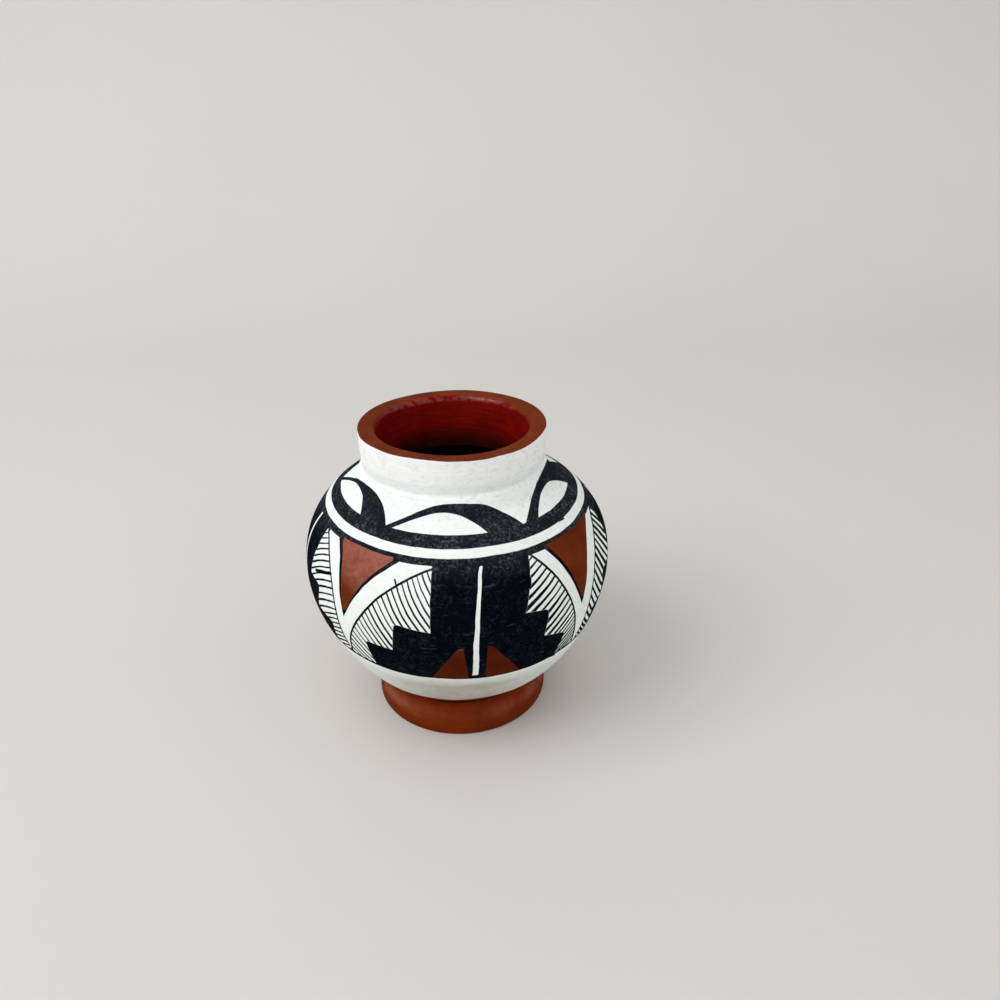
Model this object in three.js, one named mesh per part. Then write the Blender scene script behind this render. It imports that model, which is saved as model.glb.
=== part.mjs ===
// A small footed jar with a bulging body and a wide round mouth, built up in clay the way a
// coil pot is: a hollowed foot, a moulded base bowl, a belly wall, a shoulder wall, a neck
// collar and a rolled rim coil. Each section sits on the one below on a flat joint face.
// Millimetres, +Z up. The origin is the middle of the foot's resting face.
import * as THREE from 'three';

// Heights of the clay sections, from the table up
const FOOT_HEIGHT = 9;
const BASE_BOWL_HEIGHT = 19.5;
const BELLY_WALL_HEIGHT = 17.5;
const SHOULDER_WALL_HEIGHT = 18.2;
const NECK_COLLAR_HEIGHT = 9.3;
const RIM_COIL_HEIGHT = 3.5;

// Outer radii, and the height of the widest part of the body above the foot
const FOOT_RADIUS = 22.5;
const WAIST_RADIUS = 20;
const BELLY_RADIUS = 38;
const BELLY_RISE = 32.7;
const NECK_BASE_RADIUS = 24.2;
const NECK_RADIUS = 21.85;
const RIM_RADIUS = 22.3;

// Inside of the jar
const MOUTH_RADIUS = 18.1;
const WALL = 4;
const FLOOR = 3.2;
const FLOOR_CORNER = 3;

// The foot: its flat rest, the tight rounding of its outer edge and the hollow below it
const FOOT_EDGE = 0.6;
const FOOT_BULGE_HEIGHT = 1;
const HOLLOW_RADIUS = 14;
const HOLLOW_DEPTH = 6;

// How full the body is: higher numbers are squarer, 2 and 2 are an ellipse
const LOWER_FULLNESS = { along: 1.79, across: 1.79 };
const UPPER_FULLNESS = { along: 2.4, across: 1.475 };

// Height of the flare where the shoulder turns up into the neck
const FLARE_HEIGHT = 5.8;

// The lip: how high it is, how far its flat top falls inwards, the tight rounding of its outer
// edge and the width of its roll into the mouth
const LIP_HEIGHT = 2;
const LIP_FALL = 0.25;
const LIP_EDGE = 0.5;
const LIP_ROLL = 1.2;

// Facets round the jar, and steps along each curve
const FACETS = 64;
const WALL_STEPS = 5;
const ARC_STEPS = 5;
const EDGE_STEPS = 3;

// Joint heights above the table
const bowlJoint = FOOT_HEIGHT;
const bellyJoint = bowlJoint + BASE_BOWL_HEIGHT;
const shoulderJoint = bellyJoint + BELLY_WALL_HEIGHT;
const neckJoint = shoulderJoint + SHOULDER_WALL_HEIGHT;
const rimJoint = neckJoint + NECK_COLLAR_HEIGHT;
const rimTop = rimJoint + RIM_COIL_HEIGHT;
const bellyHeight = FOOT_HEIGHT + BELLY_RISE;

// Reach of each half of the body's curve, so that it passes through its end radius
function reach(rise, endRadius, fullness) {
  const drop = 1 - (endRadius / BELLY_RADIUS) ** fullness.across;
  return rise / drop ** (1 / fullness.along);
}
const lowerReach = reach(BELLY_RISE, WAIST_RADIUS, LOWER_FULLNESS);
const upperReach = reach(neckJoint - bellyHeight, NECK_BASE_RADIUS, UPPER_FULLNESS);

// Radius of the body at a height, on a surface that lies `inset` inside the outer one
function bodyRadius(height, inset) {
  const above = height > bellyHeight;
  const fullness = above ? UPPER_FULLNESS : LOWER_FULLNESS;
  const span = (above ? upperReach : lowerReach) - inset;
  const part = Math.min(Math.abs(height - bellyHeight) / span, 1);
  return (BELLY_RADIUS - inset) * (1 - part ** fullness.along) ** (1 / fullness.across);
}

// Height at which the inner surface of the shoulder has narrowed to the mouth
function throatHeight() {
  const drop = 1 - (MOUTH_RADIUS / (BELLY_RADIUS - WALL)) ** UPPER_FULLNESS.across;
  return bellyHeight + (upperReach - WALL) * drop ** (1 / UPPER_FULLNESS.along);
}

// Points of the body's surface between two heights, from the first to the second
function bodyPoints(from, to, inset) {
  return Array.from({ length: WALL_STEPS + 1 }, (_, step) => {
    const height = THREE.MathUtils.lerp(from, to, step / WALL_STEPS);
    return new THREE.Vector2(bodyRadius(height, inset), height);
  });
}

// Points of an elliptical arc, between two angles in quarter turns from the outward direction
function arcPoints(radius, height, across, up, fromQuarter, toQuarter, steps) {
  return Array.from({ length: steps + 1 }, (_, step) => {
    const angle = THREE.MathUtils.lerp(fromQuarter, toQuarter, step / steps) * (Math.PI / 2);
    return new THREE.Vector2(radius + across * Math.cos(angle), height + up * Math.sin(angle));
  });
}

// A named clay section: its profile turned round the jar's upright axis
function clay(name, profile, surface) {
  const geometry = new THREE.LatheGeometry(profile, FACETS);
  geometry.rotateX(Math.PI / 2);
  const mesh = new THREE.Mesh(geometry, new THREE.MeshStandardMaterial(surface));
  mesh.name = name;
  return mesh;
}

const TERRACOTTA = { color: 0x7a3418, roughness: 0.45, metalness: 0 };
const WHITE_SLIP = { color: 0xe6e4da, roughness: 0.6, metalness: 0 };
const PAINTED_BELLY = { color: 0x5a5b5a, roughness: 0.6, metalness: 0 };
const PAINTED_SHOULDER = { color: 0x7b7c7a, roughness: 0.6, metalness: 0 };

// Foot: a thick pad with a rolled edge that bulges out, hollowed below
function foot() {
  const hollow = [
    new THREE.Vector2(0, HOLLOW_DEPTH),
    new THREE.Vector2(HOLLOW_RADIUS, HOLLOW_DEPTH),
    new THREE.Vector2(HOLLOW_RADIUS, 0),
  ];
  const edge = arcPoints(FOOT_RADIUS - FOOT_EDGE, FOOT_BULGE_HEIGHT, FOOT_EDGE, FOOT_BULGE_HEIGHT,
    -1, 0, ARC_STEPS);
  const bulge = arcPoints(WAIST_RADIUS, FOOT_BULGE_HEIGHT, FOOT_RADIUS - WAIST_RADIUS,
    FOOT_HEIGHT - FOOT_BULGE_HEIGHT, 0, 1, ARC_STEPS).slice(1);
  return clay('foot', [...hollow, ...edge, ...bulge, new THREE.Vector2(0, FOOT_HEIGHT)], TERRACOTTA);
}

// Base bowl: the moulded bottom of the jar, with a flat floor that curves up into the wall
function baseBowl() {
  const floorTop = bowlJoint + FLOOR;
  const cornerTop = floorTop + FLOOR_CORNER;
  const bend = new THREE.Vector2(bodyRadius(floorTop, WALL), floorTop);
  const corner = new THREE.QuadraticBezierCurve(
    new THREE.Vector2(bodyRadius(cornerTop, WALL), cornerTop),
    bend,
    new THREE.Vector2(bend.x - FLOOR_CORNER, floorTop),
  );
  return clay('base_bowl', [
    new THREE.Vector2(0, bowlJoint),
    ...bodyPoints(bowlJoint, bellyJoint, 0),
    ...bodyPoints(bellyJoint, cornerTop, WALL),
    ...corner.getPoints(ARC_STEPS).slice(1),
    new THREE.Vector2(0, floorTop),
  ], WHITE_SLIP);
}

// Belly wall: the widest part of the jar, on the base bowl
function bellyWall() {
  const outer = bodyPoints(bellyJoint, shoulderJoint, 0);
  const inner = bodyPoints(shoulderJoint, bellyJoint, WALL);
  return clay('belly_wall', [...outer, ...inner, outer[0].clone()], PAINTED_BELLY);
}

// Shoulder wall: drawn in from the belly to the neck, with the throat inside its top
function shoulderWall() {
  const outer = bodyPoints(shoulderJoint, neckJoint, 0);
  const throat = new THREE.Vector2(MOUTH_RADIUS, neckJoint);
  const inner = bodyPoints(throatHeight(), shoulderJoint, WALL);
  return clay('shoulder_wall', [...outer, throat, ...inner, outer[0].clone()], PAINTED_SHOULDER);
}

// Neck collar: flares out of the shoulder, then stands almost straight up to the rim
function neckCollar() {
  const rise = SHOULDER_WALL_HEIGHT / WALL_STEPS;
  const slope = rise / (bodyRadius(neckJoint - rise, 0) - NECK_BASE_RADIUS);
  const start = new THREE.Vector2(NECK_BASE_RADIUS, neckJoint);
  const bend = new THREE.Vector2(NECK_RADIUS, neckJoint + slope * (NECK_BASE_RADIUS - NECK_RADIUS));
  const end = new THREE.Vector2(NECK_RADIUS, neckJoint + FLARE_HEIGHT);
  const flare = new THREE.QuadraticBezierCurve(start, bend, end).getPoints(ARC_STEPS);
  return clay('neck_collar', [
    ...flare,
    new THREE.Vector2(RIM_RADIUS, rimJoint),
    new THREE.Vector2(MOUTH_RADIUS, rimJoint),
    new THREE.Vector2(MOUTH_RADIUS, neckJoint),
    start.clone(),
  ], WHITE_SLIP);
}

// Rim coil: the last roll of clay, flat on top, crisp outside and rolled over into the mouth
function rimCoil() {
  const edge = arcPoints(RIM_RADIUS - LIP_EDGE, rimTop - LIP_EDGE, LIP_EDGE, LIP_EDGE,
    0, 1, EDGE_STEPS);
  const roll = arcPoints(MOUTH_RADIUS + LIP_ROLL, rimTop - LIP_HEIGHT, LIP_ROLL,
    LIP_HEIGHT - LIP_FALL, 1, 2, ARC_STEPS);
  const start = new THREE.Vector2(RIM_RADIUS, rimJoint);
  return clay('rim_coil', [
    start,
    ...edge,
    ...roll,
    new THREE.Vector2(MOUTH_RADIUS, rimJoint),
    start.clone(),
  ], TERRACOTTA);
}

const jar = new THREE.Group();
jar.name = 'footed_jar';
jar.add(foot(), baseBowl(), bellyWall(), shoulderWall(), neckCollar(), rimCoil());

export default jar;
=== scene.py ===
import functools
import math

import bpy
from mathutils import Matrix, Vector


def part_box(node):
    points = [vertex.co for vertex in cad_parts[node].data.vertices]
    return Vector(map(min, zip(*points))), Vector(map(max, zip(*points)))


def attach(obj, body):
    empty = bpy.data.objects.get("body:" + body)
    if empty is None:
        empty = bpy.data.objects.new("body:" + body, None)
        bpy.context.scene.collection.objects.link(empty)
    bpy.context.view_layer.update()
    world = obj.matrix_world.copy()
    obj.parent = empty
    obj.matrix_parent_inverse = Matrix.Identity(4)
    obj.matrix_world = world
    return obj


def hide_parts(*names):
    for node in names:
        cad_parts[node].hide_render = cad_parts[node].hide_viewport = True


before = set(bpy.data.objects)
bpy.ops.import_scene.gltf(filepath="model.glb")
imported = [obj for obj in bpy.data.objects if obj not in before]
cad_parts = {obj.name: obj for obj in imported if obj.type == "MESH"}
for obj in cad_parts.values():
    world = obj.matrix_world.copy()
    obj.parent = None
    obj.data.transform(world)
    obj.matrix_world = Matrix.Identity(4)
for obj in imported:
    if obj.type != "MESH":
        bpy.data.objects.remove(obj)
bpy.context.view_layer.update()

bl_info = {
    "name": "Footed Seed Pot",
    "version": (1, 0, 0),
    "blender": (4, 5, 0),
    "location": "View3D > Sidebar > Seed Pot",
    "description": "A small hand-built footed jar with a painted step and hatching design",
    "category": "Add Mesh",
}

# Lengths are metres. The materials work in millimetres, as the painted design was measured.
MM = 0.001
RIGHT_ANGLE = 90
FULL_TURN = 360

# Joint heights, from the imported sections
FOOT_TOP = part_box("foot")[1].z
BOWL_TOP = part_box("base_bowl")[1].z
BELLY_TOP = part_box("belly_wall")[1].z
SHOULDER_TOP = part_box("shoulder_wall")[1].z
NECK_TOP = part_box("neck_collar")[1].z
RIM_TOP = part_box("rim_coil")[1].z

# The body's curve: height of the widest ring above the foot, and how full each half is
BELLY_RISE = 32.7 * MM
LOWER_FULLNESS = (1.79, 1.79)
UPPER_FULLNESS = (2.4, 1.475)

# The foot: the tight rounding of its edge, its bulge, and the hollow below it
FOOT_EDGE = 0.6 * MM
FOOT_BULGE_HEIGHT = 1 * MM
HOLLOW_RADIUS = 14 * MM
HOLLOW_DEPTH = 6 * MM
HOLLOW_ROUNDING = 1.2 * MM

# Inside of the base bowl
FLOOR = 3.2 * MM
FLOOR_CORNER = 3 * MM

# The neck's flare out of the shoulder, and the crease pressed into it where the collar was joined
FLARE_HEIGHT = 5.8 * MM
CREASE_HEIGHT = 3.7 * MM
CREASE_DEPTH = 0.34 * MM
CREASE_STEP = 0.45 * MM
CREASE_FADE = 2.2 * MM
NECK_RING = 0.3 * MM

# The lip: its height, how far its flat top falls inwards, the tight rounding of its outer edge
# and the width of its roll into the mouth
LIP_HEIGHT = 2 * MM
LIP_FALL = 0.25 * MM
LIP_EDGE = 0.5 * MM
LIP_ROLL = 1.2 * MM

# How much higher the lip stands at the front than at the back
LIP_LIFT = 0.45 * MM

# The unevenness of hand building: the size of its lumps, the height over which it sets in above
# the table, and the part of that height that stays level
LUMP_SIZE = 26 * MM
LEVEL_FOOT = 2.2 * MM
LEVEL_PART = 0.3

# Facets round the jar, the spacing of the rings outside and inside, and the steps of a small
# corner, a rolled edge and a long roll
FACETS = 192
OUTER_RING = 0.6 * MM
INNER_RING = 1.5 * MM
CORNER_STEPS = 6
EDGE_STEPS = 8
ROLL_STEPS = 16

# Edges sharper than this stay crisp, and points nearer than this are merged
CRISP_ANGLE = math.radians(40)
MERGE_GAP = 0.001 * MM

# How far a face inside the jar turns towards the axis, and a face of the floor turns up
TURNED_IN = -0.2
TURNED_UP = 0.8

# The line under the painted design, from which its heights are measured up the wall
DESIGN_FOOT = 28.46 * MM
CLIMB_STEP = 0.1 * MM
CLIMB_NAME = "climb"


def from_screen(red, green, blue):
    """A linear colour from the 0 to 255 numbers of a screen colour."""
    parts = [level / 255 for level in (red, green, blue)]
    linear = [((part + 0.055) / 1.055) ** 2.4 if part > 0.04 else part / 12.92 for part in parts]
    return (*linear, 1.0)


def length_setting(name, description, default, least):
    """A length that a maker can set."""
    return bpy.props.FloatProperty(name=name, description=description, default=default,
                                   min=least, unit="LENGTH", precision=5)


def colour_setting(name, description, *screen_colour):
    """A colour that a maker can set."""
    return bpy.props.FloatVectorProperty(
        name=name, description=description, default=from_screen(*screen_colour),
        size=4, min=0, max=1, subtype="COLOR")


class JarShape(bpy.types.PropertyGroup):
    """Sizes of the jar that a maker would change. The joint heights come from the imported
    sections.
    """

    belly_radius: length_setting(
        "Belly radius", "Outer radius at the widest ring", 38 * MM, 20 * MM)
    neck_base_radius: length_setting(
        "Neck base radius", "Outer radius where the shoulder meets the neck", 24.2 * MM, 10 * MM)
    neck_radius: length_setting(
        "Neck radius", "Outer radius of the neck above its flare", 22.1 * MM, 10 * MM)
    rim_radius: length_setting(
        "Rim radius", "Outer radius of the rim coil", 22.3 * MM, 10 * MM)
    mouth_radius: length_setting("Mouth radius", "Radius of the opening", 18.1 * MM, 5 * MM)
    foot_radius: length_setting(
        "Foot radius", "Outer radius of the foot at its bulge", 22.5 * MM, 10 * MM)
    waist_radius: length_setting(
        "Waist radius", "Outer radius where the body meets the foot", 20 * MM, 10 * MM)
    wall: length_setting("Wall", "Thickness of the clay wall", 4 * MM, 1 * MM)
    wobble: length_setting(
        "Hand wobble", "Strength of the unevenness of a hand-built wall", 0.7 * MM, 0)
    drift: length_setting(
        "Neck drift", "How far the neck stands off the body's axis", -0.41 * MM, -2 * MM)


class JarColours(bpy.types.PropertyGroup):
    """Colours of the jar's slips and paints."""

    white_slip: colour_setting(
        "White slip", "Ground colour of the painted wall", 245, 252, 248)
    black_paint: colour_setting(
        "Black paint", "Mineral black of the bands, steps and hatching", 4, 9, 17)
    red_paint: colour_setting("Red paint", "Red of the hanging triangles", 104, 44, 17)
    terracotta: colour_setting("Terracotta", "Burnished clay of the foot", 116, 43, 11)
    lip_clay: colour_setting("Lip clay", "Bare clay of the lip, duller than the foot", 112, 48, 24)
    inner_red: colour_setting("Inner red", "Red slip brushed inside the mouth", 123, 14, 7)


# Outlines of the clay sections

def shape():
    return bpy.context.scene.jar_shape


def held(value):
    """The value held between 0 and 1."""
    return min(max(value, 0), 1)


def belly_height():
    return FOOT_TOP + BELLY_RISE


def reach(rise, end_radius, fullness):
    """Half height of the body's curve, so that it passes through its end radius."""
    along, across = fullness
    drop = 1 - (end_radius / shape().belly_radius) ** across
    return rise / drop ** (1 / along)


def body_radius(height, inset):
    """Radius of the body at a height, on a surface that lies inset inside the outer one."""
    if height > belly_height():
        along, across = UPPER_FULLNESS
        span = reach(SHOULDER_TOP - belly_height(), shape().neck_base_radius, UPPER_FULLNESS)
    else:
        along, across = LOWER_FULLNESS
        span = reach(BELLY_RISE, shape().waist_radius, LOWER_FULLNESS)
    part = min(abs(height - belly_height()) / (span - inset), 1)
    return (shape().belly_radius - inset) * (1 - part ** along) ** (1 / across)


def throat_height():
    """Height at which the inner surface of the shoulder has narrowed to the mouth."""
    along, across = UPPER_FULLNESS
    inner = shape().belly_radius - shape().wall
    span = reach(SHOULDER_TOP - belly_height(), shape().neck_base_radius, UPPER_FULLNESS)
    drop = 1 - (shape().mouth_radius / inner) ** across
    return belly_height() + (span - shape().wall) * drop ** (1 / along)


def crease_depth(height):
    """How deep the crease is: a short step in from below, then a slow way out again."""
    above = height - SHOULDER_TOP - CREASE_HEIGHT
    way_out = held(1 - (above - CREASE_STEP) / CREASE_FADE)
    return CREASE_DEPTH * held(above / CREASE_STEP) * way_out


def flare_radius(height):
    """Outer radius of the neck: a quadratic flare out of the shoulder, then a slow widening."""
    size = shape()
    part = (height - SHOULDER_TOP) / FLARE_HEIGHT
    if part < 1:
        flare = (size.neck_base_radius - size.neck_radius) * (1 - part) ** 2
        return size.neck_radius + flare - crease_depth(height)
    rest = (height - SHOULDER_TOP - FLARE_HEIGHT) / (NECK_TOP - SHOULDER_TOP - FLARE_HEIGHT)
    widening = (size.rim_radius - size.neck_radius) * min(rest, 1)
    return size.neck_radius + widening - crease_depth(height)


def wall_radius(height):
    return flare_radius(height) if height > SHOULDER_TOP else body_radius(height, 0)


def spaced(low, high, spacing):
    """Evenly spaced heights from low to high, in either direction."""
    steps = max(1, round(abs(high - low) / spacing))
    return [low + (high - low) * step / steps for step in range(steps + 1)]


def wall_points(low, high, spacing=OUTER_RING):
    return [(wall_radius(height), height) for height in spaced(low, high, spacing)]


def inner_points(high, low):
    heights = spaced(high, low, INNER_RING)
    return [(body_radius(height, shape().wall), height) for height in heights]


def arc_points(radius, height, across, up, start, end, steps):
    """Points of an elliptical arc, between two angles in quarter turns from outwards."""
    quarters = [start + (end - start) * step / steps for step in range(steps + 1)]
    angles = [math.radians(RIGHT_ANGLE * quarter) for quarter in quarters]
    return [(radius + across * math.cos(a), height + up * math.sin(a)) for a in angles]


def foot_outline():
    size = shape()
    edge_radius = size.foot_radius - FOOT_EDGE
    ceiling = [(HOLLOW_RADIUS / 2, HOLLOW_DEPTH)]
    ceiling += arc_points(HOLLOW_RADIUS - HOLLOW_ROUNDING, HOLLOW_DEPTH - HOLLOW_ROUNDING,
                          HOLLOW_ROUNDING, HOLLOW_ROUNDING, 1, 0, CORNER_STEPS)
    lip = arc_points(HOLLOW_RADIUS + HOLLOW_ROUNDING, HOLLOW_ROUNDING,
                     HOLLOW_ROUNDING, HOLLOW_ROUNDING, -2, -1, CORNER_STEPS)
    edge = arc_points(edge_radius, FOOT_BULGE_HEIGHT, FOOT_EDGE, FOOT_BULGE_HEIGHT,
                      -1, 0, EDGE_STEPS)
    bulge = arc_points(size.waist_radius, FOOT_BULGE_HEIGHT, size.foot_radius - size.waist_radius,
                       FOOT_TOP - FOOT_BULGE_HEIGHT, 0, 1, ROLL_STEPS)
    return ceiling + lip + edge + bulge[1:] + [(size.waist_radius / 2, FOOT_TOP)]


def base_bowl_outline():
    floor_top = FOOT_TOP + FLOOR
    corner_top = floor_top + FLOOR_CORNER
    start = body_radius(corner_top, shape().wall)
    bend = body_radius(floor_top, shape().wall)
    end = bend - FLOOR_CORNER
    corner = []
    for step in range(1, CORNER_STEPS + 1):
        part = step / CORNER_STEPS
        radius = (1 - part) ** 2 * start + 2 * part * (1 - part) * bend + part ** 2 * end
        corner.append((radius, corner_top - FLOOR_CORNER * (1 - (1 - part) ** 2)))
    below = [(shape().waist_radius / 2, FOOT_TOP)]
    return (below + wall_points(FOOT_TOP, BOWL_TOP) + inner_points(BOWL_TOP, corner_top)
            + corner + [(end / 2, floor_top)])


def ring_outline(outside, inside):
    """The outline of an open ring of clay: up the outside, down the inside and back."""
    return outside + inside + outside[:1]


def belly_wall_outline():
    return ring_outline(wall_points(BOWL_TOP, BELLY_TOP), inner_points(BELLY_TOP, BOWL_TOP))


def shoulder_wall_outline():
    mouth = shape().mouth_radius
    throat = [(mouth, height) for height in spaced(SHOULDER_TOP, throat_height(), INNER_RING)]
    inside = throat + inner_points(throat_height(), BELLY_TOP)[1:]
    return ring_outline(wall_points(BELLY_TOP, SHOULDER_TOP), inside)


def neck_collar_outline():
    mouth = shape().mouth_radius
    inside = [(mouth, height) for height in spaced(NECK_TOP, SHOULDER_TOP, INNER_RING)]
    return ring_outline(wall_points(SHOULDER_TOP, NECK_TOP, NECK_RING), inside)


def lip_points():
    """The lip: a crisp outer edge, a nearly flat top, and a roll into the mouth."""
    size = shape()
    flat_from, flat_to = size.rim_radius - LIP_EDGE, size.mouth_radius + LIP_ROLL
    edge = arc_points(flat_from, RIM_TOP - LIP_EDGE, LIP_EDGE, LIP_EDGE, 0, 1, EDGE_STEPS)
    parts = [step / CORNER_STEPS for step in range(1, CORNER_STEPS)]
    flat = [(flat_from + (flat_to - flat_from) * part, RIM_TOP - LIP_FALL * part ** 2)
            for part in parts]
    roll = arc_points(flat_to, RIM_TOP - LIP_HEIGHT, LIP_ROLL, LIP_HEIGHT - LIP_FALL,
                      1, 2, ROLL_STEPS)
    return edge + flat + roll


def rim_coil_outline():
    inside = [(shape().mouth_radius, height)
              for height in spaced(RIM_TOP - LIP_HEIGHT, NECK_TOP, INNER_RING)]
    return ring_outline(wall_points(NECK_TOP, RIM_TOP - LIP_EDGE) + lip_points()[1:], inside[1:])


# Turning an outline into clay

def drift(height):
    """Sideways place of a ring: the neck was set a little off the body's axis."""
    part = held((height - BELLY_TOP) / (SHOULDER_TOP - BELLY_TOP))
    return shape().drift * part * part * (3 - 2 * part)


def pull_ring(before, after):
    """Extrudes the selected ring from one outline point to the next."""
    shift = (drift(after[1]) - drift(before[1]), 0, after[1] - before[1])
    bpy.ops.mesh.extrude_region_move(TRANSFORM_OT_translate={"value": shift})
    factor = after[0] / before[0]
    centre = (drift(after[1]), 0, after[1])
    bpy.ops.transform.resize(value=(factor, factor, 1), center_override=centre)


def close_pole():
    """Closes the selected ring on its middle."""
    bpy.ops.mesh.extrude_region_move()
    bpy.ops.mesh.merge(type="CENTER")


def turn_clay(name, outline):
    """Pulls a ring up through an outline of (radius, height) points, then closes the shape.
    An outline whose ends lie apart is a solid section, closed on the axis at both ends."""
    radius, height = outline[0]
    bpy.ops.object.select_all(action="DESELECT")
    bpy.ops.mesh.primitive_circle_add(
        vertices=FACETS, radius=radius, fill_type="NOTHING", enter_editmode=True,
        location=(drift(height), 0, height))
    for before, after in zip(outline, outline[1:]):
        pull_ring(before, after)
    if outline[0] != outline[-1]:
        close_pole()
        bpy.ops.mesh.select_all(action="DESELECT")
        bpy.ops.mesh.select_non_manifold()
        close_pole()
    bpy.ops.mesh.select_all(action="SELECT")
    bpy.ops.mesh.remove_doubles(threshold=MERGE_GAP)
    bpy.ops.mesh.normals_make_consistent(inside=False)
    bpy.ops.object.mode_set(mode="OBJECT")
    bpy.ops.object.transform_apply(location=True, rotation=True, scale=True)
    piece = bpy.context.object
    piece.name = name
    piece.data.name = name
    return piece


def climb_table():
    """Lengths up the outer wall from the design's lowest line, in millimetres, by height."""
    heights = spaced(FOOT_TOP, RIM_TOP, CLIMB_STEP)
    climbs = [0.0]
    for low, high in zip(heights, heights[1:]):
        climbs.append(climbs[-1] + math.hypot(high - low, wall_radius(high) - wall_radius(low)))
    start = climbs[round((DESIGN_FOOT - FOOT_TOP) / CLIMB_STEP)]
    return [(climb - start) / MM for climb in climbs]


def note_climb(piece):
    """Stores each vertex's length up the wall and over the lip, which the paints follow."""
    climbs = climb_table()
    lip_start = shape().rim_radius - LIP_EDGE
    attribute = piece.data.attributes.new(CLIMB_NAME, "FLOAT", "POINT")
    for vertex, entry in zip(piece.data.vertices, attribute.data):
        place = (vertex.co.z - FOOT_TOP) / CLIMB_STEP
        place = min(max(place, 0), len(climbs) - 2)
        low = int(place)
        entry.value = climbs[low] + (climbs[low + 1] - climbs[low]) * (place - low)
        radius = math.hypot(vertex.co.x - drift(vertex.co.z), vertex.co.y)
        if vertex.co.z > RIM_TOP - LIP_HEIGHT and radius < lip_start:
            entry.value = climbs[-1] + (LIP_EDGE + lip_start - radius) / MM


def displace(piece, name, weigh, direction, mid_level, strength, texture=None):
    """Moves each point of a piece by a strength times the weight of its place."""
    grip = piece.vertex_groups.new(name=name)
    for vertex in piece.data.vertices:
        grip.add([vertex.index], weigh(vertex.co), "REPLACE")
    modifier = piece.modifiers.new(name, "DISPLACE")
    modifier.texture = texture
    modifier.texture_coords = "LOCAL"
    modifier.direction = direction
    modifier.mid_level = mid_level
    modifier.strength = strength
    modifier.vertex_group = grip.name
    bpy.ops.object.modifier_apply(modifier=modifier.name)
    piece.vertex_groups.clear()


def lift_lip(piece):
    """Raises the neck and lip towards the front, as they were set on a little askew."""
    def weigh(place):
        above = held((place.z - SHOULDER_TOP) / (RIM_TOP - SHOULDER_TOP))
        return above * held(0.5 - place.y / (2 * shape().rim_radius))
    displace(piece, "raised front", weigh, "Z", 0, LIP_LIFT)


def wobble_by_hand(piece):
    """Gives the wall the slow unevenness of hand building, and leaves the table side flat."""
    def weigh(place):
        return held(place.z / LEVEL_FOOT - LEVEL_PART)
    name = "hand building"
    texture = bpy.data.textures.get(name)
    if texture is None:
        texture = bpy.data.textures.new(name, "CLOUDS")
        texture.cloud_type = "COLOR"
        texture.noise_scale = LUMP_SIZE
        texture.noise_depth = 1
    displace(piece, name, weigh, "RGB_TO_XYZ", 0.5, shape().wobble, texture)


def is_inside(face):
    """Whether a face lies inside the jar: on the floor, or looking towards the jar's axis."""
    outward = Vector((face.center.x - drift(face.center.z), face.center.y, 0))
    if face.center.z < FOOT_TOP:
        return False
    if face.center.z > SHOULDER_TOP:
        return outward.length < shape().mouth_radius + LIP_ROLL
    on_floor = face.center.z < BOWL_TOP and face.normal.z > TURNED_UP
    return on_floor or face.normal.dot(outward) < TURNED_IN * outward.length


def finish_piece(piece, node, outside, inside):
    """Smooths the piece, lays on its finishes and puts it in the CAD node's place."""
    note_climb(piece)
    lift_lip(piece)
    wobble_by_hand(piece)
    bpy.ops.object.shade_smooth_by_angle(angle=CRISP_ANGLE)
    for material in (outside, inside):
        piece.data.materials.append(material)
    for face in piece.data.polygons:
        face.material_index = 1 if is_inside(face) else 0
    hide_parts(node)
    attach(piece, "root")


# Shader maths

def maths(operation, swapped=False):
    """A Python operator that adds a Math node."""
    def apply(first, second):
        pair = (second, first) if swapped else (first, second)
        return first.finish.math(operation, *pair)
    return apply


class Value:
    """A number or colour in a material, so that shader maths is written as an expression."""

    def __init__(self, finish, socket):
        self.finish = finish
        self.socket = socket

    def __abs__(self):
        return self.finish.math("ABSOLUTE", self)

    def __neg__(self):
        return self * -1

    __add__ = __radd__ = maths("ADD")
    __mul__ = __rmul__ = maths("MULTIPLY")
    __sub__ = maths("SUBTRACT")
    __rsub__ = maths("SUBTRACT", swapped=True)
    __truediv__ = maths("DIVIDE")
    __pow__ = maths("POWER")
    __mod__ = maths("FLOORED_MODULO")
    __gt__ = maths("GREATER_THAN")
    __lt__ = maths("LESS_THAN")


# Socket numbers of a Mix node that mixes colours
MIX_FACTOR, MIX_FIRST, MIX_SECOND, MIX_RESULT = 0, 6, 7, 2

# Roughness of a burnished or wet-looking coat over the clay, and the depth of the grain in
# smooth clay, in the slip brushed inside the mouth and in the studio's paper
COAT_ROUGHNESS = 0.25
CLAY_GRAIN = 0.06 * MM
MOUTH_GRAIN = 0.14 * MM
PAPER_GRAIN = 0.01 * MM


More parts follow.
